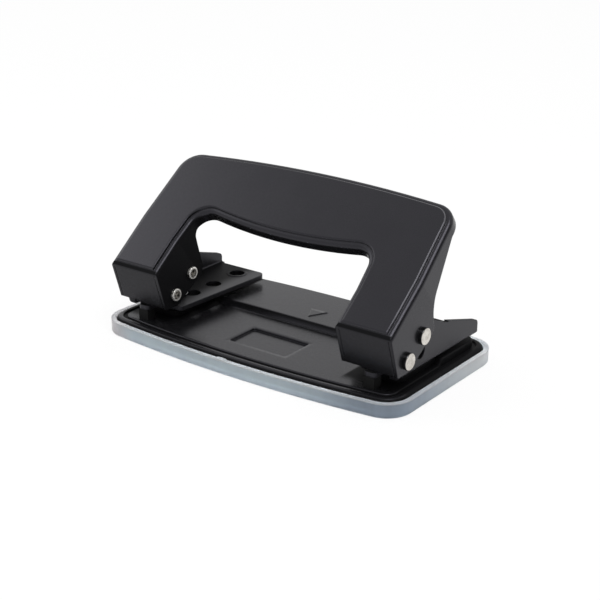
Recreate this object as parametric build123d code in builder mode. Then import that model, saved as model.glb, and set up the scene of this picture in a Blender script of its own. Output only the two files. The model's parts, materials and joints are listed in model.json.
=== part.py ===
from build123d import *
import os
from math import atan2, cos, hypot, pi, radians, sin, tan

os.makedirs("parts", exist_ok=True)

# Frame: X along the length, Y towards the paper side at the back, Z up.
# The origin is the middle of the underside of the tray.

# Overall sizes
hole_spacing = 80.0
leg_width = 17.6
tray_margin = 3.3
tray_depth = 59.6
tray_height = 4.35

# Chip tray
tray_wall = 1.3
tray_floor = 1.1
tray_corner = 8.0
tray_bow = 3.6
tray_foot_round = 0.9
tray_gap = 0.25
tab_length = 3.2
tab_rise = 0.25
tab_from_middle = 4.0

# Base pressing: rolled rim, groove, front panel and raised rear deck
base_sheet = 1.1
rim_rise = 0.65
rim_width = 2.0
rim_round = 1.3
rim_inner_round = 0.3
groove_width = 1.2
groove_depth = 0.5
skirt_gap = 0.3
deck_rise = 1.75
step_from_rear = 26.7
step_run = 1.0
step_round = 0.7
panel_round = 0.5
recess_length = 19.9
recess_depth = 11.4
recess_ahead = 1.175
recess_sink = 0.7
recess_corner = 0.7
recess_round = 0.2
mark_width = 6.1
mark_length = 6.0
mark_from_step = 3.0
mark_rise = 0.25
mark_taper = 40.0
pad_inward = 6.5
pad_outward = 5.3
pad_ahead = 5.4
pad_corner = 2.5
pad_round = 0.5

# Handle pressing
handle_sheet = 1.0
handle_lean = 38.0
bend_ahead = 7.95
bend_above = 8.6
bend_round = 1.5
slope_length = 45.2
top_bow = 2.5
top_corner = 7.0
side_taper = 1.4
taper_start = 18.0
grip_low = 21.8
grip_bulge = 3.0
arch_corner = 5.0
arch_taper = 1.0
arch_taper_start = 12.0
edge_round = 1.2
emboss_inset = 1.6
emboss_rise = 0.7
emboss_round = 0.55
emboss_low = 1.0
top_flange = 3.4
grip_lip = 3.7
lip_start = 18.3
flange_blank = 24.0
leg_blank = 12.0
bend_reach = 5.0
apron_lean = 17.2
apron_gap = 0.55
apron_slit = 0.15
apron_notch = 0.5
neck_above = 12.0
inner_strap_end = 5.5
outer_strap_end = 5.9
back_round = 3.0
neck_behind = 4.6
neck_round = 10.0

# Pins and their tubes
pivot_from_front = 12.95
arm_length = 8.77
arm_angle = 32.2
press_angle = 26.0
strap_edge = 2.05
strap_gap = 0.3
pin_shank = 3.2
head_overhang = 0.8
head_height = 1.2
head_round = 0.35
tail_overhang = 0.3
tail_height = 0.8
tail_round = 0.25
tail_wall = 0.3
tail_bore = 2.2
pin_fit = 0.02
running_fit = 0.05
sleeve_wall = 0.8
roller_wall = 0.5

# Bracket: floor over the paper slot with an upright ear
side_gap = 0.35
bracket_sheet = 1.4
paper_slot = 1.4
stop_margin = 9.1
ear_bend = 0.7
ear_inner_bend = 0.5
floor_ledge = 3.4
floor_flare = 2.2
floor_short = 0.8
floor_set_back = 1.05
floor_corner = 2.2
tongue_width = 4.0
tongue_corner = 1.2
ear_from_rear = 7.4
ear_rear_height = 2.3
ear_play = 0.45
ear_hump_back = 1.0
ear_rear_round = 1.5
ear_mid_behind = 20.25
ear_mid_above = 4.1
ear_foot_round = 0.6
ear_step = 0.35
step_behind = 2.6
slot_play = 0.6
slot_over = 10.0
floor_hole = 4.9
floor_hole_inward = 4.9
floor_hole_from_rear = 6.0
rear_hole_pitch = 11.5
front_hole_pitch = 9.7
ring_rise = 0.2
ring_width = 0.9
ring_taper = 60.0

# Square-shouldered post that rivets the bracket to the base and stops the paper
post_width = 3.4
post_neck = 2.4
post_tail = 4.0
post_tail_height = 0.7

# Punch, retaining ring and spring
punch_diameter = 5.5
punch_shift = 0.6
press_gap = 0.1
tip_lift = 0.25
tip_hollow = 0.6
die_play = 0.1
collar_wall = 0.55
collar_height = 0.8
land = 0.55
ring_sheet = 0.5
notch_depth = 0.55
ring_overhang = 1.35
ring_grip = 0.4
spring_wire = 0.55
spring_turns = 3.5
spring_play = 0.325
spring_cone = 1.55
spring_seat = 0.03

# Outline of base and tray
leg_x = hole_spacing / 2
outer_face = leg_x + leg_width / 2
inner_face = leg_x - leg_width / 2
tray_length = 2 * (outer_face + tray_margin)
front_y = -tray_depth / 2
rear_y = tray_depth / 2
rim_inset = tray_wall + tray_gap
groove_inset = rim_inset + rim_width
panel_inset = groove_inset + groove_width
step_y = rear_y - step_from_rear
panel_middle = (front_y + panel_inset + step_y - step_run / 2) / 2
recess_y = panel_middle - recess_ahead
mark_y = step_y + mark_from_step

# Levels of base and bracket
rim_top = tray_height + rim_rise
deck_top = rim_top + deck_rise
skirt_low = tray_floor + skirt_gap
floor_low = deck_top + paper_slot
floor_top = floor_low + bracket_sheet

# Pins, and the handle that they carry
strap_radius = pin_shank / 2 + strap_edge
pivot_y = front_y + pivot_from_front
pivot_z = floor_top + strap_gap + strap_radius
press_y = pivot_y + arm_length * cos(radians(arm_angle))
press_z = pivot_z + arm_length * sin(radians(arm_angle))
bend_y = pivot_y - bend_ahead
bend_z = pivot_z + bend_above
apron_bottom = floor_top + apron_gap
apron_width = leg_width - 2 * (handle_sheet + apron_slit)
strap_corner_y = pivot_y + strap_radius * tan(radians(arm_angle / 2))
inner_back_y = press_y + inner_strap_end
neck_y = press_y + neck_behind
outer_back_y = press_y + outer_strap_end
neck_z = pivot_z + neck_above
flange_top_up = slope_length - top_bow - top_corner
past_top = slope_length + flange_blank

# Punch, with what holds and presses it
roller_radius = pin_shank / 2 + running_fit + roller_wall
punch_y = press_y + punch_shift
punch_top = press_z - roller_radius - press_gap
punch_low = floor_low + tip_lift
guide_radius = (punch_diameter + die_play) / 2
groove_radius = punch_diameter / 2 - notch_depth
ring_top = punch_top - land
ring_low = ring_top - ring_sheet
spring_top_radius = (punch_diameter + spring_wire) / 2 + spring_play
spring_foot_radius = spring_top_radius + spring_cone
press_drop = arm_length * (sin(radians(arm_angle)) - sin(radians(arm_angle - press_angle)))

# Bracket
ear_out = outer_face - handle_sheet - side_gap
ear_in = ear_out - bracket_sheet
ear_rear = rear_y - ear_from_rear
ear_rear_top = floor_top + ear_rear_height
slot_width = pin_shank + 2 * slot_play
floor_hole_x = leg_x - floor_hole_inward
floor_hole_rear = ear_rear - floor_hole_from_rear
floor_hole_mid = floor_hole_rear - rear_hole_pitch
floor_hole_row = (floor_hole_rear, floor_hole_mid, floor_hole_mid - front_hole_pitch)
floor_inner = inner_face - floor_ledge
floor_front = pivot_y + floor_set_back
floor_rear = ear_rear - floor_short
post_y = punch_y - stop_margin - post_width / 2

# Corners of the ear in side view: its front edge clears the apron, its top passes the pins at that margin
ear_slant = tan(radians(apron_lean))
pin_to_apron = (bend_ahead - bend_above * ear_slant) * cos(radians(apron_lean))
ear_margin = pin_to_apron - handle_sheet - ear_play
ear_front_at_pivot = pivot_y - ear_margin / cos(radians(apron_lean))
ear_front_y = ear_front_at_pivot + (pivot_z - floor_low) * ear_slant
ear_top_at_pivot = pivot_z + ear_margin / cos(radians(arm_angle))
ear_top_slope = tan(radians(arm_angle))
ear_shoulder_y = (
    ear_front_at_pivot - (ear_top_at_pivot - ear_top_slope * pivot_y - pivot_z) * ear_slant
) / (1 + ear_top_slope * ear_slant)
ear_shoulder_z = ear_top_at_pivot + (ear_shoulder_y - pivot_y) * ear_top_slope
ear_hump_y = press_y + ear_hump_back
ear_hump_z = ear_top_at_pivot + (ear_hump_y - pivot_y) * ear_top_slope
ear_mid_y = pivot_y + ear_mid_behind
ear_mid_top = pivot_z + ear_mid_above
ear_step_y = ear_mid_y + step_behind
ear_fall = (ear_mid_top - ear_rear_top) / (ear_rear - ear_mid_y)
ear_step_z = ear_mid_top - step_behind * ear_fall

# Plane of the handle's plate: local x along the length, local y up the slope
lean = radians(handle_lean)
plate = Plane(origin=(0, bend_y, bend_z), x_dir=(1, 0, 0), z_dir=(0, -sin(lean), cos(lean)))


def on_slope(up, deep):
    """Side-view point (y, z) a distance up the slope and deep below the plate's face."""
    y = bend_y + up * cos(lean) + deep * sin(lean)
    z = bend_z + up * sin(lean) - deep * cos(lean)
    return (y, z)


def apron_line(z):
    """Side-view point of the apron's outer face at a height."""
    return (bend_y + (bend_z - z) * tan(radians(apron_lean)), z)


def strap_line(y):
    """Side-view point of the lower edge that runs beside both pins."""
    slope = radians(arm_angle)
    drop = strap_radius / cos(slope)
    return (y, pivot_z + (y - pivot_y) * tan(slope) - drop)


def footprint(inset):
    """Bowed outline of the tray, drawn in all round."""
    half = tray_length / 2
    front = front_y + tray_bow
    rear = rear_y - tray_bow
    with BuildSketch(mode=Mode.PRIVATE) as outline:
        with BuildLine():
            ThreePointArc((-half, front), (0, front_y), (half, front))
            Line((half, front), (half, rear))
            ThreePointArc((half, rear), (0, rear_y), (-half, rear))
            Line((-half, rear), (-half, front))
        make_face()
        fillet(outline.vertices(), tray_corner)
        if inset > 0:
            offset(amount=-inset, mode=Mode.REPLACE)
    return outline.sketch


def arch_outline(inset):
    """Outline of the handle's plate with its two legs, drawn in all round."""
    foot = -leg_blank
    half_top = outer_face - side_taper
    side_top = slope_length - top_bow
    arch_half = inner_face - arch_taper
    arch_side = grip_low + grip_bulge
    with BuildSketch(mode=Mode.PRIVATE) as outline:
        with BuildLine():
            Polyline((-half_top, side_top), (-outer_face, taper_start), (-outer_face, foot))
            Line((-outer_face, foot), (outer_face, foot))
            Polyline((outer_face, foot), (outer_face, taper_start), (half_top, side_top))
            ThreePointArc((half_top, side_top), (0, slope_length), (-half_top, side_top))
        make_face()
        fillet(outline.vertices().group_by(Axis.Y)[-1], top_corner)
        with BuildSketch(mode=Mode.PRIVATE) as arch:
            with BuildLine():
                Polyline((-arch_half, arch_side), (-inner_face, arch_taper_start), (-inner_face, 2 * foot))
                Line((-inner_face, 2 * foot), (inner_face, 2 * foot))
                Polyline((inner_face, 2 * foot), (inner_face, arch_taper_start), (arch_half, arch_side))
                ThreePointArc((arch_half, arch_side), (0, grip_low), (-arch_half, arch_side))
            make_face()
            fillet(arch.vertices().group_by(Axis.Y)[-1], arch_corner)
        add(arch.sketch, mode=Mode.SUBTRACT)
        if inset > 0:
            offset(amount=-inset, kind=Kind.INTERSECTION, mode=Mode.REPLACE)
    return outline.sketch


def rod(x_from, x_to, y, z, radius, mode=Mode.ADD):
    """Round bar along X."""
    with Locations(Location((min(x_from, x_to), y, z), (0, 90, 0))):
        bar = Cylinder(
            radius, abs(x_to - x_from), align=(Align.CENTER, Align.CENTER, Align.MIN), mode=mode
        )
    return bar


def spring_course(x, y, z, rise):
    """Points and directions every quarter turn of a coned spring that narrows upwards."""
    points = []
    tangents = []
    quarters = round(4 * spring_turns)
    slope = (spring_top_radius - spring_foot_radius) / (2 * pi * spring_turns)
    climb = rise / (2 * pi * spring_turns)
    for step in range(quarters + 1):
        turn = step * pi / 2
        radius = spring_foot_radius + slope * turn
        points.append(Vector(x + radius * cos(turn), y + radius * sin(turn), z + climb * turn))
        along = slope * cos(turn) - radius * sin(turn)
        across = slope * sin(turn) + radius * cos(turn)
        tangents.append(Vector(along, across, climb).normalized())
    return points, tangents


def biarc_joint(start, end, start_dir, end_dir):
    """Point and direction where two arcs meet smoothly between two directed ends."""
    chord = end - start
    both = start_dir + end_dir
    a = 2 * (1 - start_dir.dot(end_dir))
    b = 2 * chord.dot(both)
    reach = (hypot(b, 2 * (a * chord.dot(chord)) ** 0.5) - b) / (2 * a)
    knee = start + start_dir * reach
    far_knee = end - end_dir * reach
    return (knee + far_knee) * 0.5, (far_knee - knee).normalized()


def self_gap(course):
    """Least gap of the spring's wire to itself, between points at least half a turn apart."""
    count = 400
    points = [course.position_at(step / count) for step in range(count + 1)]
    apart = round(count / spring_turns / 2)
    least = min(
        (points[second] - points[first]).length
        for first in range(count + 1)
        for second in range(first + apart, count + 1)
    )
    return least - spring_wire


# Chip tray
with BuildPart() as chip_tray:
    with BuildSketch():
        add(footprint(0))
    extrude(amount=tray_height)
    fillet(chip_tray.faces().sort_by(Axis.Z)[0].edges(), tray_foot_round)
    with BuildSketch(Plane.XY.offset(tray_floor)):
        add(footprint(tray_wall))
    extrude(amount=tray_height, mode=Mode.SUBTRACT)
    with BuildSketch(Plane.XY.offset(tray_height)):
        add(footprint(0))
        add(footprint(tray_wall), mode=Mode.SUBTRACT)
        with Locations((-tab_from_middle, front_y)):
            Rectangle(tab_length, 2 * tray_bow, mode=Mode.INTERSECT)
    extrude(amount=tab_rise)

chip_tray.part.label = "chip_tray"
export_step(chip_tray.part, "parts/chip_tray.step")


def pressed_form(inset, sink):
    """Panel and deck as one pressed shape, drawn in and sunk by the sheet for the underside."""
    low = skirt_low
    far = tray_depth
    start = step_y - step_run / 2 + sink * tan(atan2(deck_rise, step_run) / 2)
    with BuildPart() as form:
        with BuildSketch(Plane.XY.offset(low)):
            add(footprint(inset))
        extrude(amount=far)
        with BuildSketch(Plane.YZ):
            with BuildLine():
                FilletPolyline(
                    (-far, low),
                    (-far, rim_top - sink),
                    (start, rim_top - sink),
                    (start + step_run, deck_top - sink),
                    (far, deck_top - sink),
                    (far, low),
                    radius=(0, 0, step_round, step_round, 0, 0),
                    close=True,
                )
            make_face()
        extrude(amount=tray_length, both=True, mode=Mode.INTERSECT)
        if sink == 0:
            brink = form.edges().filter_by(lambda edge: edge.bounding_box().min.Z > rim_top - groove_depth)
            fillet(brink.filter_by(Axis.X, reverse=True), panel_round)
    return form.part


def die_pad(side, sink):
    """Raised pad that carries the die hole, level with the deck, drawn in by the sheet below."""
    inner = side * (leg_x - pad_inward)
    outer = side * (leg_x + pad_outward)
    front = punch_y - pad_ahead
    back = step_y + 3 * step_run
    with BuildPart() as pad:
        with BuildSketch(Plane.XY.offset(skirt_low)):
            with Locations(((inner + outer) / 2, (front + back) / 2)):
                RectangleRounded(
                    pad_inward + pad_outward - 2 * sink, back - front - 2 * sink, pad_corner - sink
                )
        extrude(amount=deck_top - sink - skirt_low)
        if sink == 0:
            fillet(pad.faces().sort_by(Axis.Z)[-1].edges(), pad_round)
    return pad.part


# Base plate
upper_form = pressed_form(panel_inset, 0)
lower_form = pressed_form(panel_inset + base_sheet, base_sheet)
upper_pads = [die_pad(side, 0) for side in (-1, 1)]
lower_pads = [die_pad(side, base_sheet) for side in (-1, 1)]
with BuildPart() as base_plate:
    with BuildSketch(Plane.XY.offset(skirt_low)):
        add(footprint(rim_inset))
    extrude(amount=rim_top - skirt_low)
    fillet(base_plate.faces().sort_by(Axis.Z)[-1].edges(), rim_round)
    with BuildSketch(Plane.XY.offset(rim_top)):
        add(footprint(groove_inset))
    extrude(amount=-groove_depth, mode=Mode.SUBTRACT)
    fillet(base_plate.faces().sort_by(Axis.Z)[-1].inner_wires()[0].edges(), rim_inner_round)
    add(upper_form)
    with BuildSketch(Plane.XY.offset(skirt_low)):
        add(footprint(rim_inset + base_sheet))
    extrude(amount=rim_top - groove_depth - base_sheet - skirt_low, mode=Mode.SUBTRACT)
    add(upper_pads)
    add(lower_form, mode=Mode.SUBTRACT)
    add(lower_pads, mode=Mode.SUBTRACT)

    # Recess in the panel, pressed through to a pad below, and the raised centre mark on the deck
    with BuildSketch(Plane.XY.offset(rim_top - base_sheet)):
        with Locations((0, recess_y)):
            RectangleRounded(recess_length + base_sheet, recess_depth + base_sheet, recess_corner)
    extrude(amount=-recess_sink)
    with BuildSketch(Plane.XY.offset(rim_top)):
        with Locations((0, recess_y)):
            RectangleRounded(recess_length, recess_depth, recess_corner)
    extrude(amount=-recess_sink, mode=Mode.SUBTRACT)
    half_length = recess_length / 2 + recess_round
    half_depth = recess_depth / 2 + recess_round
    brink = base_plate.edges().filter_by_position(Axis.Z, rim_top - pin_fit, rim_top + pin_fit)
    brink = brink.filter_by_position(Axis.Y, recess_y - half_depth, recess_y + half_depth)
    fillet(brink.filter_by_position(Axis.X, -half_length, half_length), recess_round)
    with BuildSketch(Plane.XY.offset(deck_top)):
        with BuildLine():
            Polyline(
                (0, mark_y),
                (mark_width / 2, mark_y + mark_length),
                (-mark_width / 2, mark_y + mark_length),
                close=True,
            )
        make_face()
    extrude(amount=mark_rise, taper=mark_taper)
    with BuildSketch(Plane.XY.offset(skirt_low)):
        with Locations((-leg_x, punch_y), (leg_x, punch_y)):
            Circle(guide_radius)
        with Locations((-leg_x, post_y), (leg_x, post_y)):
            Rectangle(post_neck + 2 * pin_fit, post_neck + 2 * pin_fit)
    extrude(amount=deck_top, mode=Mode.SUBTRACT)

base_plate.part.label = "base_plate"
export_step(base_plate.part, "parts/base_plate.step")

# Handle
with BuildPart() as handle:
    with BuildSketch(plate):
        add(arch_outline(0))
    extrude(amount=-flange_blank)
    fillet(handle.faces().sort_by(Axis(plate.origin, plate.z_dir))[-1].edges(), edge_round)
    with BuildSketch(plate.offset(-handle_sheet)):
        add(arch_outline(handle_sheet))
    extrude(amount=-flange_blank, mode=Mode.SUBTRACT)

    # Flanges trimmed in side view: the outer ones on each leg, then the inner ones with the grip's lip
    for side in (-1, 1):
        with BuildSketch(Plane.YZ.offset(side * leg_x)):
            Rectangle(4 * slope_length, 4 * slope_length)
            with BuildLine():
                FilletPolyline(
                    apron_line(pivot_z - strap_radius),
                    (strap_corner_y, pivot_z - strap_radius),
                    strap_line(outer_back_y),
                    (neck_y, neck_z),
                    on_slope(flange_top_up, top_flange),
                    on_slope(past_top, top_flange),
                    on_slope(past_top, 0),
                    (bend_y, bend_z),
                    radius=(0, strap_radius, back_round, neck_round, 0, 0, 0, bend_round),
                    close=True,
                )
            make_face(mode=Mode.SUBTRACT)
        extrude(amount=side * leg_width, mode=Mode.SUBTRACT)
    with BuildSketch(Plane.YZ):
        Rectangle(4 * slope_length, 4 * slope_length)
        with BuildLine():
            FilletPolyline(
                apron_line(pivot_z - strap_radius),
                (strap_corner_y, pivot_z - strap_radius),
                strap_line(inner_back_y),
                on_slope(lip_start, grip_lip),
                on_slope(flange_top_up, grip_lip),
                on_slope(flange_top_up, top_flange),
                on_slope(past_top, top_flange),
                on_slope(past_top, 0),
                (bend_y, bend_z),
                radius=(0, strap_radius, back_round, back_round, 0, 0, 0, 0, bend_round),
                close=True,
            )
        make_face(mode=Mode.SUBTRACT)
    extrude(amount=leg_x, both=True, mode=Mode.SUBTRACT)

    # Raised panel, hollow underneath
    with BuildSketch(plate):
        add(arch_outline(emboss_inset))
        with Locations((0, slope_length / 2 + emboss_low)):
            Rectangle(2 * outer_face, slope_length, mode=Mode.INTERSECT)
    extrude(amount=emboss_rise)
    fillet(handle.faces().sort_by(Axis(plate.origin, plate.z_dir))[-1].edges(), emboss_round)
    with BuildSketch(plate.offset(-handle_sheet)):
        add(arch_outline(emboss_inset + handle_sheet / 2))
        with Locations((0, slope_length / 2 + emboss_low + handle_sheet / 2)):
            Rectangle(2 * outer_face, slope_length, mode=Mode.INTERSECT)
    extrude(amount=emboss_rise, mode=Mode.SUBTRACT)

    # Apron folded down at the front of each leg, with a shallow step in its lower edge
    for side in (-1, 1):
        with BuildSketch(Plane.YZ.offset(side * leg_x)):
            with BuildLine():
                fold = FilletPolyline(
                    on_slope(bend_reach, 0),
                    (bend_y, bend_z),
                    apron_line(apron_bottom),
                    radius=bend_round,
                )
                offset(fold, amount=handle_sheet, side=Side.LEFT)
            make_face()
        extrude(amount=apron_width / 2, both=True)
        with Locations((side * leg_x - apron_width / 2, apron_line(apron_bottom)[0], apron_bottom)):
            Box(2 * apron_width / 3, 4 * handle_sheet, 2 * apron_notch, mode=Mode.SUBTRACT)
        for y, z in ((pivot_y, pivot_z), (press_y, press_z)):
            rod(side * outer_face, side * inner_face, y, z, pin_shank / 2 + pin_fit, Mode.SUBTRACT)

handle.part.label = "handle"
export_step(handle.part, "parts/handle.step")

for name, side in (("left", -1), ("right", 1)):
    # Pivot pin and press pin: plain head outside, rolled hollow tail inside
    for kind, y, z in (("pivot", pivot_y, pivot_z), ("press", press_y, press_z)):
        tail_end = side * (inner_face - tail_height)
        with BuildPart() as pin:
            rod(side * outer_face, side * (outer_face + head_height), y, z, pin_shank / 2 + head_overhang)
            fillet(pin.faces().sort_by(Axis((0, 0, 0), (side, 0, 0)))[-1].edges(), head_round)
            rod(tail_end, side * inner_face, y, z, pin_shank / 2 + tail_overhang)
            fillet(pin.faces().sort_by(Axis((0, 0, 0), (side, 0, 0)))[0].edges(), tail_round)
            rod(side * inner_face, side * outer_face, y, z, pin_shank / 2)
            rod(tail_end, tail_end + side * tail_bore, y, z, pin_shank / 2 - tail_wall, Mode.SUBTRACT)
        pin.part.label = f"{name}_{kind}_pin"
        export_step(pin.part, f"parts/{name}_{kind}_pin.step")

    # Tube on the pivot pin, between the inner flange and the bracket's ear
    with BuildPart() as pivot_sleeve:
        sleeve_from = side * (inner_face + handle_sheet)
        sleeve_to = side * (ear_in - side_gap)
        rod(sleeve_from, sleeve_to, pivot_y, pivot_z, pin_shank / 2 + running_fit + sleeve_wall)
        rod(sleeve_from, sleeve_to, pivot_y, pivot_z, pin_shank / 2 + running_fit, Mode.SUBTRACT)
    pivot_sleeve.part.label = f"{name}_pivot_sleeve"
    export_step(pivot_sleeve.part, f"parts/{name}_pivot_sleeve.step")

    # Roller on the press pin
    with BuildPart() as press_roller:
        rod(sleeve_from, sleeve_to, press_y, press_z, roller_radius)
        rod(sleeve_from, sleeve_to, press_y, press_z, pin_shank / 2 + running_fit, Mode.SUBTRACT)
    press_roller.part.label = f"{name}_press_roller"
    export_step(press_roller.part, f"parts/{name}_press_roller.step")

    # Ear with its bend, cut to outline in side view, with the curved slot for the press pin
    with BuildPart() as ear:
        with BuildSketch(Plane.XZ.offset(-ear_rear)):
            with BuildLine():
                FilletPolyline(
                    (side * (ear_in - 2 * ear_inner_bend), floor_low),
                    (side * ear_out, floor_low),
                    (side * ear_out, 2 * press_z),
                    (side * ear_in, 2 * press_z),
                    (side * ear_in, floor_top),
                    (side * (ear_in - 2 * ear_inner_bend), floor_top),
                    radius=(0, ear_bend, 0, 0, ear_inner_bend, 0),
                    close=True,
                )
            make_face()
        extrude(amount=2 * ear_rear)
        with BuildSketch(Plane.YZ):
            with BuildLine():
                FilletPolyline(
                    (ear_front_y, floor_low),
                    (ear_shoulder_y, ear_shoulder_z),
                    (ear_hump_y, ear_hump_z),
                    (ear_mid_y, ear_mid_top),
                    (ear_step_y, ear_step_z),
                    (ear_step_y, ear_step_z + ear_step),
                    (ear_rear, ear_rear_top + ear_step),
                    (ear_rear, floor_low),
                    radius=(0, ear_margin, ear_margin, 0, 0, 0, ear_rear_round, ear_foot_round),
                    close=True,
                )
            make_face()
        extrude(amount=side * 2 * outer_face, mode=Mode.INTERSECT)
        with BuildSketch(Plane.YZ.offset(side * ear_in)):
            with BuildLine() as slot_path:
                CenterArc((pivot_y, pivot_z), arm_length, arm_angle, -press_angle - slot_over)
            trace(line_width=slot_width)
            with Locations(slot_path.line @ 0, slot_path.line @ 1):
                Circle(slot_width / 2)
        extrude(amount=side * bracket_sheet, mode=Mode.SUBTRACT)

    # Bracket: floor over the paper with a tongue at the front, upright ear, collar that guides the punch
    with BuildPart() as bracket:
        with BuildSketch(Plane.XY.offset(floor_low)):
            with BuildLine():
                FilletPolyline(
                    (side * (floor_inner + floor_flare), floor_front),
                    (side * floor_inner, floor_rear),
                    (side * (ear_in + bracket_sheet / 2), floor_rear),
                    (side * (ear_in + bracket_sheet / 2), floor_front),
                    radius=(tongue_corner, floor_corner, 0, 0),
                    close=True,
                )
            make_face()
            with BuildLine():
                FilletPolyline(
                    (side * leg_x - tongue_width / 2, punch_y),
                    (side * leg_x - tongue_width / 2, post_y - post_width / 2),
                    (side * leg_x + tongue_width / 2, post_y - post_width / 2),
                    (side * leg_x + tongue_width / 2, punch_y),
                    radius=(0, tongue_corner, tongue_corner, 0),
                    close=True,
                )
            make_face()
        extrude(amount=bracket_sheet)
        add(ear.part)
        with BuildSketch(Plane.XY.offset(floor_top)):
            with Locations((side * leg_x, punch_y)):
                Circle(guide_radius + collar_wall)
        extrude(amount=collar_height)
        with BuildSketch(Plane.XY.offset(floor_top)):
            with Locations((side * floor_hole_x, floor_hole_rear)):
                Circle(floor_hole / 2 + ring_width)
        extrude(amount=ring_rise, taper=ring_taper)
        with BuildSketch(Plane.XY.offset(floor_low)):
            with Locations((side * leg_x, punch_y)):
                Circle(guide_radius)
            for y in floor_hole_row:
                with Locations((side * floor_hole_x, y)):
                    Circle(floor_hole / 2)
            with Locations((side * leg_x, post_y)):
                Rectangle(post_neck + 2 * pin_fit, post_neck + 2 * pin_fit)
        extrude(amount=bracket_sheet + collar_height, mode=Mode.SUBTRACT)
        rod(side * ear_in, side * ear_out, pivot_y, pivot_z, pin_shank / 2 + running_fit, Mode.SUBTRACT)
    bracket.part.label = f"{name}_bracket"
    export_step(bracket.part, f"parts/{name}_bracket.step")

    # Post: square shoulder between base and bracket, neck flush above, spread tail below
    with BuildPart() as post:
        tail_top = rim_top - base_sheet
        with BuildSketch(Plane.XY.offset(tail_top - post_tail_height)):
            with Locations((side * leg_x, post_y)):
                Circle(post_tail / 2)
        extrude(amount=post_tail_height)
        with BuildSketch(Plane.XY.offset(tail_top)):
            with Locations((side * leg_x, post_y)):
                Rectangle(post_neck, post_neck)
        extrude(amount=floor_top - tail_top)
        with BuildSketch(Plane.XY.offset(rim_top)):
            with Locations((side * leg_x, post_y)):
                Rectangle(post_width, post_width)
        extrude(amount=floor_low - rim_top)
    post.part.label = f"{name}_bracket_post"
    export_step(post.part, f"parts/{name}_bracket_post.step")

    # Punch with a hollowed cutting end and a groove for the retaining ring
    with BuildPart() as punch:
        with BuildSketch(Plane.XY.offset(punch_low)):
            with Locations((side * leg_x, punch_y)):
                Circle(punch_diameter / 2)
        extrude(amount=punch_top - punch_low)
        fillet(punch.faces().sort_by(Axis.Z)[-1].edges(), land / 2)
        with BuildSketch(Plane.XY.offset(ring_low - running_fit)):
            with Locations((side * leg_x, punch_y)):
                Circle(punch_diameter)
                Circle(groove_radius, mode=Mode.SUBTRACT)
        extrude(amount=ring_sheet + 2 * running_fit, mode=Mode.SUBTRACT)
        hollow = punch_diameter
        with Locations(Location((side * leg_x, punch_y, punch_low - hollow + tip_hollow), (90, 0, 0))):
            Cylinder(hollow, 2 * punch_diameter, mode=Mode.SUBTRACT)
    punch.part.label = f"{name}_punch"
    export_step(punch.part, f"parts/{name}_punch.step")

    # Retaining ring that grips the groove, open at the back
    with BuildPart() as retaining_ring:
        with BuildSketch(Plane.XY.offset(ring_low)):
            with Locations((side * leg_x, punch_y)):
                Circle(punch_diameter / 2 + ring_overhang)
                Circle(groove_radius + pin_fit, mode=Mode.SUBTRACT)
            with Locations((side * leg_x, punch_y + punch_diameter)):
                Rectangle(2 * (groove_radius - ring_grip), 2 * punch_diameter, mode=Mode.SUBTRACT)
        extrude(amount=ring_sheet)
    retaining_ring.part.label = f"{name}_retaining_ring"
    export_step(retaining_ring.part, f"parts/{name}_retaining_ring.step")

    # Coned return spring between the floor and the retaining ring
    foot_z = floor_top + spring_wire / 2 + spring_seat
    rise = ring_low - spring_wire / 2 - spring_seat - foot_z
    coil_points, coil_tangents = spring_course(side * leg_x, punch_y, foot_z, rise)
    with BuildPart() as spring:
        with BuildLine() as coil:
            for start, end, start_dir, end_dir in zip(
                coil_points, coil_points[1:], coil_tangents, coil_tangents[1:]
            ):
                middle, middle_dir = biarc_joint(start, end, start_dir, end_dir)
                TangentArc(start, middle, tangent=start_dir)
                TangentArc(middle, end, tangent=middle_dir)
        with BuildSketch(Plane(origin=coil_points[0], z_dir=coil_tangents[0])):
            Circle(spring_wire / 2)
        sweep(path=coil.wires()[0])
    print(name, "spring, least gap of the wire to itself:", round(self_gap(coil.wires()[0]), 3))
    spring.part.label = f"{name}_spring"
    export_step(spring.part, f"parts/{name}_spring.step")

print("punch travel:", round(press_drop, 4), "mm over", press_angle, "degrees")
print("travel per radian:", round(press_drop / radians(press_angle), 5), "mm")
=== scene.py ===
import json
from math import cos, radians, sin, tau

import bmesh
import bpy
from mathutils import Matrix, Vector


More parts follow.
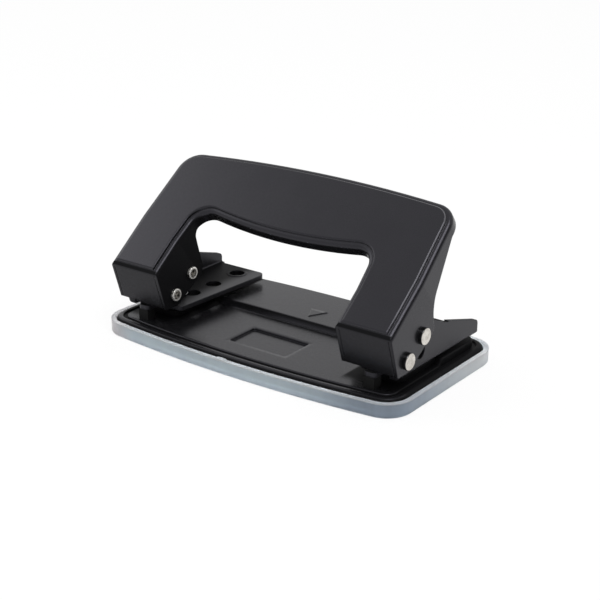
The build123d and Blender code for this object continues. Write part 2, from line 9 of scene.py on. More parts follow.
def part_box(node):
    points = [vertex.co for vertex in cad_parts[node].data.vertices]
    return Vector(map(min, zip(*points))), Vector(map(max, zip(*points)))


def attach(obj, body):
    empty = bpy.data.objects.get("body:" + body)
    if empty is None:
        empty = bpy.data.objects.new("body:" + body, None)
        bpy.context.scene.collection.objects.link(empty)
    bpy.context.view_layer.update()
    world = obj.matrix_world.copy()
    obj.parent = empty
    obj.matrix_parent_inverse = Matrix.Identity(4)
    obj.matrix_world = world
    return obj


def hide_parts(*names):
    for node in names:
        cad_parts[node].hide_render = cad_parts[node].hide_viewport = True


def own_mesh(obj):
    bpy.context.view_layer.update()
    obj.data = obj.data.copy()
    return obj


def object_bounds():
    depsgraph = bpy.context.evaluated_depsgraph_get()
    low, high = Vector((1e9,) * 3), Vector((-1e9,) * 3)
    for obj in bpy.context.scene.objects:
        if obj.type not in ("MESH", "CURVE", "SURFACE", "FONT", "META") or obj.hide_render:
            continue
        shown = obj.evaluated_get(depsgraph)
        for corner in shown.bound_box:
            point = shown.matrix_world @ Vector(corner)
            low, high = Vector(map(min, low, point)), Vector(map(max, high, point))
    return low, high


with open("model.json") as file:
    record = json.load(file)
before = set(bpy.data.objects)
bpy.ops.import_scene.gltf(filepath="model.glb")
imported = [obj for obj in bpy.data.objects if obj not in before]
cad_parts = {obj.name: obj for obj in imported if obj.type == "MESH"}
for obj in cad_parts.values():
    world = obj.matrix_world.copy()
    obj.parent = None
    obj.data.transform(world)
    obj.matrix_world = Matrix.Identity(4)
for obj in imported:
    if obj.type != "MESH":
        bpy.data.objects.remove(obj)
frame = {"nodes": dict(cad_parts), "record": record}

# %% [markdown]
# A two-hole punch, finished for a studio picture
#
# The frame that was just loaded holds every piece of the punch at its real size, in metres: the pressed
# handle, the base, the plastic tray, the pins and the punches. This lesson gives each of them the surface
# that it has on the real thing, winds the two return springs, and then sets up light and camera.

MILLIMETRE = 0.001
cad_low, cad_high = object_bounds()
print("size in mm:", [round(side / MILLIMETRE, 2) for side in cad_high - cad_low])

# %% [markdown]
# Arithmetic with sockets
#
# A finish is mostly arithmetic: a fine grain here, a little less gloss there. Wiring Math nodes one by one
# hides that arithmetic, so a small class wraps a socket and lets Python's own signs add the nodes. Anything
# that isn't plain arithmetic, such as a noise texture, comes from its one general method.


# %% The class that wraps a socket
class Signal:
    """A value that varies over a surface. Sums and products of it add Math nodes to its tree."""

    def __init__(self, tree, socket=None):
        self.tree = tree
        self.socket = socket

    def node(self, kind, settings=None, inputs=None, output=0):
        """Add a node: settings are set first, then each input gets a value or a link."""
        made = self.tree.nodes.new(kind)
        for name, value in (settings or {}).items():
            setattr(made, name, value)
        for name, value in (inputs or {}).items():
            if isinstance(value, Signal):
                self.tree.links.new(value.socket, made.inputs[name])
            else:
                made.inputs[name].default_value = value
        return Signal(self.tree, made.outputs[output])

    def math(self, operation, first, second, clamp=False):
        settings = {"operation": operation, "use_clamp": clamp}
        return self.node("ShaderNodeMath", settings, {0: first, 1: second})

    def __add__(self, other):
        return self.math("ADD", self, other)

    def __radd__(self, other):
        return self.math("ADD", other, self)

    def __sub__(self, other):
        return self.math("SUBTRACT", self, other)

    def __rsub__(self, other):
        return self.math("SUBTRACT", other, self)

    def __mul__(self, other):
        return self.math("MULTIPLY", self, other)

    def __rmul__(self, other):
        return self.math("MULTIPLY", other, self)

    def __abs__(self):
        return self.math("ABSOLUTE", self, 0.0)

    def between(self, low, high):
        """0 up to low, 1 from high on, smooth in between."""
        settings = {"interpolation_type": "SMOOTHSTEP"}
        inputs = {"Value": self, "From Min": low, "From Max": high}
        return self.node("ShaderNodeMapRange", settings, inputs)

    def mix(self, dark, light):
        """One colour where this is 0, the other where it is 1."""
        settings = {"data_type": "RGBA"}
        return self.node("ShaderNodeMix", settings, {0: self, 6: dark, 7: light}, 2)


print("socket arithmetic ready")

# %% [markdown]
# A start for every finish
#
# Each finish begins in the same way: a new material, its Principled shader, and the place of every point in
# the part's own frame. Values that are the same all over are set on the shader directly; only what changes
# over the surface is wired in. Two things vary in nearly all of them: a noise of some size, and a relief that
# is too fine to be worth faces.


# %% Starting and wiring a finish
def new_finish(name, **constants):
    """A material with its constants set. Gives the material, its shader and the place of each point."""
    material = bpy.data.materials.new(name)
    material.use_nodes = True
    tree = material.node_tree
    shader = tree.nodes["Principled BSDF"]
    for key, value in constants.items():
        shader.inputs[key.replace("_", " ")].default_value = value
    place = Signal(tree).node("ShaderNodeTexCoord", output="Object")
    return material, shader, place


def wire(shader, socket, signal):
    """Feed a varying value into one socket of the shader."""
    signal.tree.links.new(signal.socket, shader.inputs[socket])


def coat_nodes(material, *names):
    """Give CAD nodes this finish."""
    for name in names:
        node = frame["nodes"][name]
        node.data.materials.clear()
        node.data.materials.append(material)
    print(material.name, "on", ", ".join(names))


print("finishes ready for", len(frame["nodes"]), "nodes")


# %% Noise and relief
def grain(place, size, detail=2.0):
    """Noise whose spots are about that size, in metres."""
    inputs = {"Vector": place, "Scale": 1 / size, "Detail": detail}
    return place.node("ShaderNodeTexNoise", None, inputs)


def raised(height, depth, normal=None):
    """Surface direction of a relief: height runs from 0 to 1 and stands for that depth, in metres."""
    inputs = {"Height": height, "Distance": depth, "Strength": 1.0}
    if normal is not None:
        inputs["Normal"] = normal
    return height.node("ShaderNodeBump", None, inputs)


print("noise and relief ready")

# %% [markdown]
# Black enamel on pressed steel
#
# Handle, base and brackets are pressed from sheet and stoved in a thin black enamel. The colour itself is
# nearly black; what the eye sees is the white room in its satin skin, which is a little blue. So the base
# colour is very low, the tint sits in the reflection, and the work goes into the skin: a fine orange-peel
# ripple, gloss that is a little cloudy, and edges that the enamel rounds off. The Bevel node does the last of
# these, because the sheet's cut edges are sharper than paint can be.
#
# In places that lie in shade the skin is given no gloss at all: that is painted shade. One could paint those
# blacker, but black can't get darker: what is missing there is the reflection. So a second, dull shader is
# mixed in by a mask that each piece gives. Another mask mixes in a lighter colour: a painted highlight.

# %% Black enamel
ENAMEL_DARK = (0.005, 0.005, 0.0056, 1)
ENAMEL_LIGHT = (0.0072, 0.0072, 0.008, 1)
ENAMEL_TINT = (0.88, 0.86, 1.0, 1)
ENAMEL_IOR = 1.42
# Painted shade: the dull skin mixed in where shade falls
SHADE_SKIN = {"Base Color": ENAMEL_DARK, "Roughness": 0.5, "IOR": 1.13}
# Painted highlight: the lighter colour along some edges
PAINTED_HIGHLIGHT = (0.08, 0.08, 0.085, 1)
CLOUD_SIZE = 9 * MILLIMETRE
SPECK_SIZE = 0.12 * MILLIMETRE
GLOSS_SWING = 0.05
PEEL_SIZE = 0.55 * MILLIMETRE
PEEL_DEPTH = 0.002 * MILLIMETRE
PAINT_ROUND = 0.4 * MILLIMETRE


def enamel(name, roughness, shade_mask, brinks=None, highlighted=None):
    """Black stoving enamel. Each mask takes a place: one is 1 where painted shade takes the gloss away, one
    is 1 where a lighter colour paints a highlight, and brinks gives the height of a sheet that sinks towards
    its edges."""
    material, shader, place = new_finish(name, IOR=ENAMEL_IOR, Specular_Tint=ENAMEL_TINT)
    cloud = grain(place, CLOUD_SIZE)
    peel = grain(place, PEEL_SIZE, detail=1.0)
    speck = grain(place, SPECK_SIZE, detail=1.0)
    colour = cloud.mix(ENAMEL_DARK, ENAMEL_LIGHT)
    # Painted highlight mixed into the colour
    if highlighted:
        colour = highlighted(place).mix(colour, PAINTED_HIGHLIGHT)
    wire(shader, "Base Color", colour)
    wire(shader, "Roughness", roughness + GLOSS_SWING * cloud + GLOSS_SWING * speck)
    surface = place.node("ShaderNodeBevel", {"samples": 6}, {"Radius": PAINT_ROUND})
    if brinks:
        surface = raised(brinks(place), 1.0, surface)
    wire(shader, "Normal", raised(peel, PEEL_DEPTH, surface))
    skin = Signal(place.tree, shader.outputs["BSDF"])
    # Painted shade: the dull skin, mixed in where the mask is 1
    shaded_skin = place.node("ShaderNodeBsdfPrincipled", None, SHADE_SKIN)
    both = place.node("ShaderNodeMixShader", None, {0: shade_mask(place), 1: skin, 2: shaded_skin})
    place.tree.links.new(both.socket, place.tree.nodes["Material Output"].inputs["Surface"])
    return material


print("enamel from", ENAMEL_DARK[:3], "to", ENAMEL_LIGHT[:3])

# %% [markdown]
# Masks from places
#
# Painted shade and painted highlights keep to certain places of a piece. Such a mask could be painted, but a
# painted picture has to be carried along with the part. Here each mask is worked out instead, from where a
# point lies and which way the surface looks there, so it stays sharp at any distance and moves with its
# piece.


# %% Where a point lies and looks
def along(place, axis):
    """How far each place lies along X, Y or Z, in metres."""
    return place.node("ShaderNodeSeparateXYZ", None, {"Vector": place}, axis)


def facing(place, axis):
    """How far the surface looks along X, Y or Z, from -1 to 1."""
    return along(place.node("ShaderNodeNewGeometry", output="Normal"), axis)


def span(low, high):
    """Both ends of a range that is given in millimetres."""
    return low * MILLIMETRE, high * MILLIMETRE


print("one millimetre in the frame:", span(0, 1)[1])

# %% [markdown]
# The handle's painted highlight and shade
#
# A painted highlight, a hair of lighter colour, runs along the brink of the raised panel, along its top and
# down the right leg. The plate leans, so its brink is found by the drop below the panel's face, measured
# square to the plate. Inside the legs, along the fold above each apron and on the aprons below, painted shade
# takes the gloss away. The handle turns, and its mask for looking forward must turn with it: that one takes
# the direction from the part's own frame.

# %% Brink of the raised panel
PLATE_LEAN = radians(38)
BEND_Y = -24.8 * MILLIMETRE
BEND_Z = 22.1 * MILLIMETRE
PANEL_RISE = 0.7 * MILLIMETRE
BRINK_BEGINS = span(0.01, 0.07)
BRINK_ENDS = span(0.16, 0.36)
TOP_EDGE = span(34, 38)
TOP_FADE = span(-20, 30)
RIGHT_EDGE = span(40, 44)
RIGHT_FADE = span(2, 8)


def brink_highlight(place):
    """1 along the rounded brink of the raised panel, at its top and down its right leg, where a highlight is
    painted.
    """
    back = along(place, "Y") - BEND_Y
    high = along(place, "Z") - BEND_Z
    drop = PANEL_RISE - (cos(PLATE_LEAN) * high - sin(PLATE_LEAN) * back)
    brink = drop.between(*BRINK_BEGINS) * (1 - drop.between(*BRINK_ENDS))
    across = along(place, "X")
    slope = cos(PLATE_LEAN) * back + sin(PLATE_LEAN) * high
    top = slope.between(*TOP_EDGE) * across.between(*TOP_FADE)
    right = across.between(*RIGHT_EDGE) * slope.between(*RIGHT_FADE)
    return brink * (1 - (1 - top) * (1 - right))


print("panel rises in mm:", round(PANEL_RISE / MILLIMETRE, 2))

# %% Handle enamel
SATIN = 0.22
INSIDE_OF_LEGS = span(15, 25)
FOLD_HALF = 0.6 * MILLIMETRE
FOLD_LOOKS_FORWARD = (0.4, 0.55)
APRON_LOOKS_FORWARD = (0.8, 0.95)
APRON_SHADE = 0.45


def shaded_legs(place):
    """Painted shade: 1 on the inner walls of the legs and along the fold above each apron, a fixed share on
    the aprons.
    """
    inward = 0 - along(place, "X") * facing(place, "X")
    forward = 0 - along(place.node("ShaderNodeTexCoord", output="Normal"), "Y")
    above_fold = along(place, "Z") - BEND_Z
    apron = forward.between(*APRON_LOOKS_FORWARD) * (FOLD_HALF - above_fold).between(0, FOLD_HALF)
    by_fold = (FOLD_HALF - abs(above_fold)).between(0, FOLD_HALF / 3)
    fold = forward.between(*FOLD_LOOKS_FORWARD) * by_fold
    front = place.math("MAXIMUM", APRON_SHADE * apron, fold)
    return place.math("MAXIMUM", inward.between(*INSIDE_OF_LEGS), front)


# Painted shade in the legs and on the aprons, painted highlight along the panel's brink
coat_nodes(enamel("black_enamel", SATIN, shaded_legs, highlighted=brink_highlight), "handle")

# %% [markdown]
# Painted shade on the brackets
#
# The brackets are small stampings with a rougher skin than the handle's. Their floors guide the punches and
# lie in the shade of the legs, where painted shade takes the gloss away. The mask picks what looks up and
# lies near a punch.

# %% Bracket enamel
ROUGH_SATIN = 0.34
NEAR_PUNCH = span(30, 36)
LOOKS_UP = (0.7, 0.9)
SIDES = ("left", "right")


def shaded_floor(place):
    """Painted shade: 1 on the bracket's floor round the punch."""
    return abs(along(place, "X")).between(*NEAR_PUNCH) * facing(place, "Z").between(*LOOKS_UP)


def pair(name):
    """Names of the left and the right piece."""
    return [f"{side}_{name}" for side in SIDES]


coat_nodes(enamel("bracket_enamel", ROUGH_SATIN, shaded_floor), *pair("bracket"))

# %% [markdown]
# Pressed marks in the base
#
# The base has a sunk field at the front and a raised pointer on the deck. A press doesn't bend steel sharply:
# the sheet begins to sink a millimetre before the edge. That slope is too slight to be worth faces, but it
# catches the light, so it is added as a relief: a height for each place, worked out from its distance to the
# edge. A painted highlight, a hair of lighter colour, runs along the front and the right edge of the field.

# %% Sunk field and pointer
FIELD_HALF_WIDTH = 9.95 * MILLIMETRE
FIELD_HALF_DEPTH = 5.7 * MILLIMETRE
FIELD_MIDDLE_Y = -12.4 * MILLIMETRE
POINTER_REAR_Y = 11.9 * MILLIMETRE
POINTER_TOP = span(6.9, 6.95)
SINK_RUN = 1.1 * MILLIMETRE
SINK_DEPTH = 0.12 * MILLIMETRE


def from_field(place):
    """Distance outside the field, in metres; below 0 inside it."""
    beside = abs(along(place, "X")) - FIELD_HALF_WIDTH
    before = abs(along(place, "Y") - FIELD_MIDDLE_Y) - FIELD_HALF_DEPTH
    return place.math("MAXIMUM", beside, before)


def base_brinks(place):
    """Height in metres: 0 on the field's brink and at the pointer's rear, SINK_DEPTH away from them."""
    round_field = from_field(place).between(0.0, SINK_RUN)
    on_pointer = along(place, "Z").between(*POINTER_TOP)
    from_rear = (POINTER_REAR_Y - along(place, "Y")).between(0.0, SINK_RUN)
    return SINK_DEPTH * (round_field + on_pointer * from_rear)


print("field in mm:", [round(2 * half / MILLIMETRE, 2) for half in (FIELD_HALF_WIDTH, FIELD_HALF_DEPTH)])

# %% Painted highlight on the field's edges
HIGHLIGHT_WIDTH = 0.4 * MILLIMETRE


def field_brink_highlight(place):
    """1 on a narrow strip along the front and the right edge of the field, where a highlight is painted."""
    strip = (HIGHLIGHT_WIDTH / 2 - abs(from_field(place) - HIGHLIGHT_WIDTH / 2)).between(0.0, HIGHLIGHT_WIDTH / 4)
    not_left = (along(place, "X") + FIELD_HALF_WIDTH).between(0.0, HIGHLIGHT_WIDTH)
    not_rear = (FIELD_MIDDLE_Y + FIELD_HALF_DEPTH - along(place, "Y")).between(0.0, HIGHLIGHT_WIDTH)
    return strip * not_left * not_rear


print("rubbed strip in mm:", round(HIGHLIGHT_WIDTH / MILLIMETRE, 2))

# %% [markdown]
# Painted shade on the base
#
# The flank of the base's rim, its groove, the step up to the deck and the slots under the brackets lie in
# shade, and painted shade takes the gloss there. Three masks find these places, and the largest of them
# counts.

# %% Base enamel
PANEL_TOP_Z = 5.0 * MILLIMETRE
DECK_TOP_Z = 6.75 * MILLIMETRE
BELOW_PANEL = span(0.05, 0.35)
CLEAR_OF_FIELD = span(1, 2)
STEP_LOOKS_FORWARD = (0.5, 0.8)
SLOT_INSET = 1.5 * MILLIMETRE
SLOT_RUN_X = 1 * MILLIMETRE
SLOT_RUN_Y = 4 * MILLIMETRE
slot_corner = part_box("right_bracket")[0]
slot_x = slot_corner.x + SLOT_INSET


def shaded_base(place):
    """Painted shade: 1 below the panel's level but not in the field, on walls that look forward, and under
    the brackets.
    """
    height = along(place, "Z")
    low = (PANEL_TOP_Z - height).between(*BELOW_PANEL) * from_field(place).between(*CLEAR_OF_FIELD)
    forward = 0 - facing(place, "Y")
    step = forward.between(*STEP_LOOKS_FORWARD) * height.between(PANEL_TOP_Z, DECK_TOP_Z)
    slot = abs(along(place, "X")).between(slot_x, slot_x + SLOT_RUN_X)
    slot = slot * along(place, "Y").between(slot_corner.y, slot_corner.y + SLOT_RUN_Y)
    return place.math("MAXIMUM", place.math("MAXIMUM", low, step), slot)


coat_nodes(enamel("base_enamel", SATIN, shaded_base, base_brinks, field_brink_highlight), "base_plate")

# %% [markdown]
# Posts painted into the shade
#
# The posts stand in the dark under the legs. They are painted near black, darker than the enamel, with hardly
# any shine, as painted shade that sinks them into that dark.

# %% Black of the shade
SHADE_BLACK_DARK = (0.002, 0.002, 0.002, 1)
SHADE_BLACK_LIGHT = (0.004, 0.004, 0.004, 1)
shade_black, shader, place = new_finish("shade_black", IOR=1.3)
tone = grain(place, 0.8 * MILLIMETRE)
# Painted shade: near black, so the posts sink into the dark under the legs
wire(shader, "Base Color", tone.mix(SHADE_BLACK_DARK, SHADE_BLACK_LIGHT))
wire(shader, "Roughness", 0.6 + 0.2 * tone)
coat_nodes(shade_black, *pair("bracket_post"))

# %% [markdown]
# Bright plated steel
#
# The rivet pins are turned from wire, plated and then hammered over. The faces of their heads are a warm grey
# with a mottled shine. Noise of two sizes gives the mottling: the coarse one shifts the tone and the gloss,
# the fine one is a shallow relief that breaks up the reflection. The walls of the heads are painted dark, as
# painted shade. The tails inside were only rolled over: their faces are brighter and rougher, and the fine
# noise breaks their bores into bright metal and patches of painted shade. A wall is told from a face by the
# direction
# that it looks in: the faces look along X.

# %% Bright steel
PLATED_DARK = (0.5, 0.47, 0.43, 1)
PLATED_LIGHT = (0.7, 0.67, 0.62, 1)
TAIL_FACE = (0.86, 0.84, 0.8, 1)
BORE_SHADE = (0.06, 0.06, 0.06, 1)
BORE_LIGHT = (0.8, 0.78, 0.74, 1)
SHADED_HEAD_WALL = (0.05, 0.05, 0.052, 1)
DENT_DEPTH = 0.02 * MILLIMETRE
TAIL_TO_HEAD = span(37, 41)
bright_steel, shader, place = new_finish("bright_steel", Metallic=1.0)
tone = grain(place, 1.3 * MILLIMETRE, detail=3.0)
dent = grain(place, 0.5 * MILLIMETRE, detail=2.0)
face = abs(facing(place, "X")).between(0.5, 0.8)
head = abs(along(place, "X")).between(*TAIL_TO_HEAD)
faces = head.mix(TAIL_FACE, tone.between(0.3, 0.7).mix(PLATED_DARK, PLATED_LIGHT))
# Painted shade on the walls of the heads and in patches in the bores of the tails
walls = head.mix(dent.between(0.45, 0.55).mix(BORE_SHADE, BORE_LIGHT), SHADED_HEAD_WALL)
wire(shader, "Base Color", face.mix(walls, faces))
wire(shader, "Roughness", 0.16 + 0.16 * tone + 0.25 * (1 - head))
wire(shader, "Normal", raised(dent, DENT_DEPTH))
coat_nodes(bright_steel, *pair("pivot_pin"), *pair("press_pin"))

# %% [markdown]
# Ground tool steel
#
# The punches, their rings, the rollers and the sleeves sit inside the legs. They are bare steel, ground
# round, so their marks run round them in fine hoops: the noise is drawn out across the height.


# %% Tool steel
def stretched(place, x, y, z):
    """The same place with its three lengths multiplied, which draws a noise out along the smallest."""
    return place.node("ShaderNodeVectorMath", {"operation": "MULTIPLY"}, {0: place, 1: (x, y, z)})


GROUND_DARK = (0.36, 0.36, 0.37, 1)
GROUND_LIGHT = (0.5, 0.5, 0.5, 1)
tool_steel, shader, place = new_finish("tool_steel", Metallic=1.0)
tone = grain(place, 1.1 * MILLIMETRE)
hoops = grain(stretched(place, 0.05, 0.05, 1.0), 0.12 * MILLIMETRE, detail=1.0)
wire(shader, "Base Color", tone.mix(GROUND_DARK, GROUND_LIGHT))
wire(shader, "Roughness", 0.2 + 0.18 * hoops)
coat_nodes(tool_steel, *pair("punch"), *pair("retaining_ring"))
coat_nodes(tool_steel, *pair("press_roller"), *pair("pivot_sleeve"))

# %% [markdown]
# Return springs
#
# A coned spring stands round each punch, between the bracket's floor and the retaining ring. The real spring
# shortens when the punch goes down. A curve with a round bevel could draw it; here the wire is built as a
# mesh,
# ring by ring along a formula: a helix whose radius shrinks as it climbs, and it keeps its height. It takes
# its place from the CAD spring and the CAD punch, and then stands for the CAD spring.

# %% Path of a coned spring
TURNS = 3.5
RINGS_A_TURN = 40


def spring_path(middle, low, high, foot_radius, top_radius):
    """Points along the middle of the wire, from the foot up."""
    count = round(TURNS * RINGS_A_TURN)
    for step in range(count + 1):
        share = step / count
        angle = tau * TURNS * share
        radius = foot_radius + (top_radius - foot_radius) * share
        height = low + (high - low) * share
        yield Vector((middle.x + radius * cos(angle), middle.y + radius * sin(angle), height))


print("points on the wire:", round(TURNS * RINGS_A_TURN) + 1)

# %% Round wire along a path
WIRE = 0.55 * MILLIMETRE
SIDES_OF_WIRE = 14


def wire_mesh(name, points):
    """Closed tube of round wire along the points."""
    mesh = bmesh.new()
    rings = []
    for index, point in enumerate(points):
        heading = points[min(index + 1, len(points) - 1)] - points[max(index - 1, 0)]
        across = heading.cross(Vector((0, 0, 1))).normalized()
        up = across.cross(heading).normalized()
        ring = []
        for side in range(SIDES_OF_WIRE):
            angle = tau * side / SIDES_OF_WIRE
            ring.append(mesh.verts.new(point + (across * cos(angle) + up * sin(angle)) * WIRE / 2))
        rings.append(ring)
    for first, second in zip(rings, rings[1:]):
        for side in range(SIDES_OF_WIRE):
            after = (side + 1) % SIDES_OF_WIRE
            mesh.faces.new((first[side], first[after], second[after], second[side])).smooth = True
    mesh.faces.new(reversed(rings[0]))
    mesh.faces.new(rings[-1])
    bmesh.ops.recalc_face_normals(mesh, faces=mesh.faces)
    made = bpy.data.meshes.new(name)
    mesh.to_mesh(made)
    mesh.free()
    return made


print("wire in mm:", round(WIRE / MILLIMETRE, 2))

# %% [markdown]
# Spring steel
#
# Spring wire is drawn through a die and left bare, so it is darker than the ground pieces and its fine marks
# run with the wire. The CAD springs get the same finish, though the wound ones stand for them.

# %% Spring steel
DRAWN_DARK = (0.3, 0.3, 0.31, 1)
DRAWN_LIGHT = (0.46, 0.45, 0.44, 1)
spring_steel, shader, place = new_finish("spring_steel", Metallic=1.0)
tone = grain(place, 0.6 * MILLIMETRE)
drawn = grain(stretched(place, 1.0, 1.0, 4.0), 0.15 * MILLIMETRE, detail=1.0)
wire(shader, "Base Color", tone.mix(DRAWN_DARK, DRAWN_LIGHT))
wire(shader, "Roughness", 0.24 + 0.16 * drawn)
coat_nodes(spring_steel, *pair("spring"))

# %% Both springs in place
SPRING_PLAY = 0.325 * MILLIMETRE
joints = {joint["name"]: joint for joint in frame["record"]["behaviour"]["joints"]}
punch_travel = joints["left_punch_slide"]["range_m"][1]
for side in SIDES:
    spring_low, spring_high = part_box(f"{side}_spring")
    punch_low, punch_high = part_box(f"{side}_punch")
    middle = (punch_low + punch_high) / 2
    foot_radius = spring_high.x - middle.x - WIRE / 2
    top_radius = (punch_high.x - punch_low.x) / 2 + SPRING_PLAY + WIRE / 2
    ends = (spring_low.z + WIRE / 2, spring_high.z - WIRE / 2)
    path = list(spring_path(middle, *ends, foot_radius, top_radius))
    spring = bpy.data.objects.new(f"{side}_return_spring", wire_mesh(f"{side}_return_spring", path))
    spring.data.materials.append(spring_steel)
    bpy.context.scene.collection.objects.link(spring)
    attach(spring, "base")
    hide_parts(f"{side}_spring")
    height = spring_high.z - spring_low.z
    foot = (middle.x, middle.y, spring_low.z)
    1 - punch_travel / height
    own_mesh(spring)
    print(spring.name, "height in mm:", round(height / MILLIMETRE, 2), "faces:", len(spring.data.polygons))

# %% [markdown]
# Frosted tray
#
# The chip tray is a thin moulding of milky plastic. Light goes through it and is scattered on the way. The
# colour paints what that light does: the dark base behind the walls as a cool grey of painted shade, and the
# free ends and the rim, which lead the light up, as pale painted light. A rough transmitting surface gives
# the rest of the frosting without a volume, which would take far longer to render. Place along the tray
# chooses
# between the greys: the painted shade deepens towards the front right corner, where the base lies close
# behind the wall, grows paler to the rear, and loses its blue at the left end. The tray is painted darker
# towards its bottom, and two noises cloud it as the flow of the moulding does.

# %% Greys of the tray
tray_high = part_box("chip_tray")[1]
frosted_plastic, shader, place = new_finish("frosted_plastic", IOR=1.45, Transmission_Weight=0.76)
milk = grain(place, 6 * MILLIMETRE)
flow = grain(stretched(place, 1.0, 1.0, 0.15), 3 * MILLIMETRE)
# Painted shade: darker towards the bottom of the tray
foot = along(place, "Z").between(*span(0.3, 1.8))
cloudy = (0.4 * milk + 0.35 * flow + 0.25 * foot).between(0.15, 0.85)
painted_wall_light = cloudy.mix((0.68, 0.77, 0.87, 1), (0.85, 0.96, 1.0, 1))
painted_wall_shade = cloudy.mix((0.28, 0.34, 0.43, 1), (0.52, 0.61, 0.72, 1))
print("tray reaches, in mm:", [round(value / MILLIMETRE, 2) for value in tray_high])

# %% Frosted plastic
LEFT_END_GREY = (0.79, 0.77, 0.79, 1)
FREE_END_LIGHT = (0.96, 0.97, 0.98, 1)
RIM_HIGHLIGHT = (0.97, 0.98, 1.0, 1)
across = along(place, "X")
to_corner = across.between(12 * MILLIMETRE, tray_high.x - 2 * MILLIMETRE)
to_rear = along(place, "Y").between(-24 * MILLIMETRE, tray_high.y)
# Painted shade of the dark base behind the wall, deepest at the front right corner
wall = (to_corner * (1 - to_rear)).mix(painted_wall_light, painted_wall_shade)
wall = (0 - across).between(*span(38, 48)).mix(wall, LEFT_END_GREY)
# Painted light: paler free ends towards the rear
lit_free_end = abs(across).between(tray_high.x - 5 * MILLIMETRE, tray_high.x - 1 * MILLIMETRE)
wall = (lit_free_end * to_rear).mix(wall, FREE_END_LIGHT)
# Painted highlight along the rim
rim = along(place, "Z").between(tray_high.z - 0.7 * MILLIMETRE, tray_high.z - 0.4 * MILLIMETRE)
wire(shader, "Base Color", rim.mix(wall, RIM_HIGHLIGHT))
frost = grain(place, 0.18 * MILLIMETRE, detail=1.0)
wire(shader, "Roughness", 0.36 + 0.12 * frost)
wire(shader, "Normal", raised(frost, 0.006 * MILLIMETRE))
coat_nodes(frosted_plastic, "chip_tray")

# %% [markdown]
# Floor
#
# The picture has a white ground with hardly any shadow. The floor is a plain white sheet that mostly glows
# white to the camera, and to rays that come by way of a gloss or through the tray. The small rest of it is
# matt paint, which keeps the punch's shadow. The punch stands on its tray, so the floor goes where the tray
# goes: when the two come apart, the tray stays on the floor and the punch is the one that is lifted.


# %% Floor sheet
def square(name, half):
    """Flat square sheet about its own middle, not yet in the scene."""
    corners = [(x * half, y * half, 0) for x, y in ((-1, -1), (1, -1), (1, 1), (-1, 1))]
    mesh = bpy.data.meshes.new(name)
    mesh.from_pydata(corners, [], [(0, 1, 2, 3)])
    return bpy.data.objects.new(name, mesh)


FLOOR_HALF = 3.0
FLOOR_GAP = 0.02 * MILLIMETRE
floor = square("floor", FLOOR_HALF)
floor.location.z = -FLOOR_GAP
bpy.context.scene.collection.objects.link(floor)
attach(floor, "tray")
print("floor of", 2 * FLOOR_HALF, "m")

# %% Floor white
FLOOR_GLOW = 0.85
PAPER_WHITE = (0.85, 0.85, 0.85, 1)
WHITE = (1, 1, 1, 1)


def seen_directly(start):
    """1 for rays from the camera, off a gloss or through the plastic, 0 for the rest."""
    seen = start.node("ShaderNodeLightPath", output="Is Camera Ray")
    glossy = start.node("ShaderNodeLightPath", output="Is Glossy Ray")
    through = start.node("ShaderNodeLightPath", output="Is Transmission Ray")
    return start.math("ADD", seen + glossy, through, clamp=True)


floor_white = bpy.data.materials.new("floor_white")
floor_white.use_nodes = True
tree = floor_white.node_tree
tree.nodes.clear()
start = Signal(tree)
paper = start.node("ShaderNodeBsdfDiffuse", None, {"Color": PAPER_WHITE})
glow = start.node("ShaderNodeEmission", None, {"Color": WHITE, "Strength": 1.0})
share = seen_directly(start) * FLOOR_GLOW
both = start.node("ShaderNodeMixShader", None, {0: share, 1: paper, 2: glow})
tree.links.new(both.socket, tree.nodes.new("ShaderNodeOutputMaterial").inputs["Surface"])
floor.data.materials.append(floor_white)
print(floor_white.name, "glows by", FLOOR_GLOW)

# %% [markdown]
# Room and lamps
#
# A pale room lights the punch evenly. One soft box overhead brightens the rounded edges of the handle and the
# tray's rim, and one on the left lifts that side of the handle. A black card on the right is what a
# photographer puts up to give a dark object its edges: the rounded corners mirror it as dark lines.

# %% Pale room
ROOM = 0.87
world = bpy.data.worlds.new("studio")
bpy.context.scene.world = world
world.use_nodes = True
background = world.node_tree.nodes["Background"]
background.inputs["Color"].default_value = WHITE
background.inputs["Strength"].default_value = ROOM
print("room strength:", ROOM)

# %% Soft boxes
aim = (cad_low + cad_high) / 2


def set_up(thing, direction, distance):
    """Put a lamp or a card at a distance in that direction from the punch, turned to face the punch."""
    way = Vector(direction).normalized()
    thing.location = aim + way * distance
    thing.rotation_euler = way.to_track_quat("Z", "Y").to_euler()
    bpy.context.scene.collection.objects.link(thing)
    print(thing.name, "at", [round(value, 2) for value in thing.location])


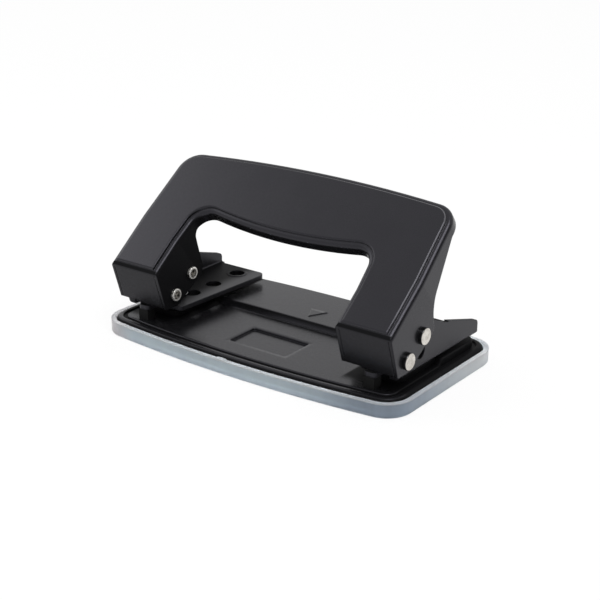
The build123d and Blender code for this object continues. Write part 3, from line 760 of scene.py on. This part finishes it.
def soft_box(name, width, depth, power):
    """Rectangular lamp, in metres and watts."""
    lamp = bpy.data.lights.new(name, "AREA")
    lamp.shape = "RECTANGLE"
    lamp.size = width
    lamp.size_y = depth
    lamp.energy = power
    return bpy.data.objects.new(name, lamp)


set_up(soft_box("top_box", width=0.42, depth=0.5, power=4.0), (0.34, -0.2, 0.92), distance=0.9)
set_up(soft_box("left_box", width=0.5, depth=0.5, power=1.1), (-0.8, -0.12, 0.55), distance=1.0)

# %% Black card
CARD_HALF = 0.24
FELT_DARK = (0.01, 0.01, 0.01, 1)
FELT_LIGHT = (0.02, 0.02, 0.02, 1)
black_felt, shader, place = new_finish("black_felt", Roughness=0.9)
wire(shader, "Base Color", grain(place, 2 * MILLIMETRE).mix(FELT_DARK, FELT_LIGHT))
card = square("black_card", CARD_HALF)
card.data.materials.append(black_felt)
card.visible_camera = False
set_up(card, (0.9, 0.14, 0.42), distance=0.8)

# %% [markdown]
# Camera
#
# The picture was taken from the front right, a little above, with a long lens. Direction, distance and lens
# come from fitting the CAD frame to what the picture shows, so the camera is placed by those numbers.

# %% Camera at the picture's angle
TARGET = Vector((3.69, -2.8, 15.65)) * MILLIMETRE
DISTANCE = 397.1 * MILLIMETRE
AZIMUTH = radians(36.53)
ELEVATION = radians(21.17)
ROLL = radians(0.24)
FOCAL_LENGTH = 83.6
SENSOR_WIDTH = 36.0
NEAREST_SEEN = 0.01
to_camera = Vector((sin(AZIMUTH) * cos(ELEVATION), -cos(AZIMUTH) * cos(ELEVATION), sin(ELEVATION)))
lens = bpy.data.cameras.new("camera")
lens.lens = FOCAL_LENGTH
lens.sensor_width = SENSOR_WIDTH
lens.clip_start = NEAREST_SEEN
camera = bpy.data.objects.new("camera", lens)
turn = (-to_camera).to_track_quat("-Z", "Y").to_matrix() @ Matrix.Rotation(ROLL, 3, "Z")
camera.matrix_world = Matrix.Translation(TARGET + to_camera * DISTANCE) @ turn.to_4x4()
bpy.context.scene.collection.objects.link(camera)
bpy.context.scene.camera = camera
bpy.context.scene.view_settings.view_transform = "Standard"
print("camera at", [round(value, 3) for value in camera.matrix_world.translation])
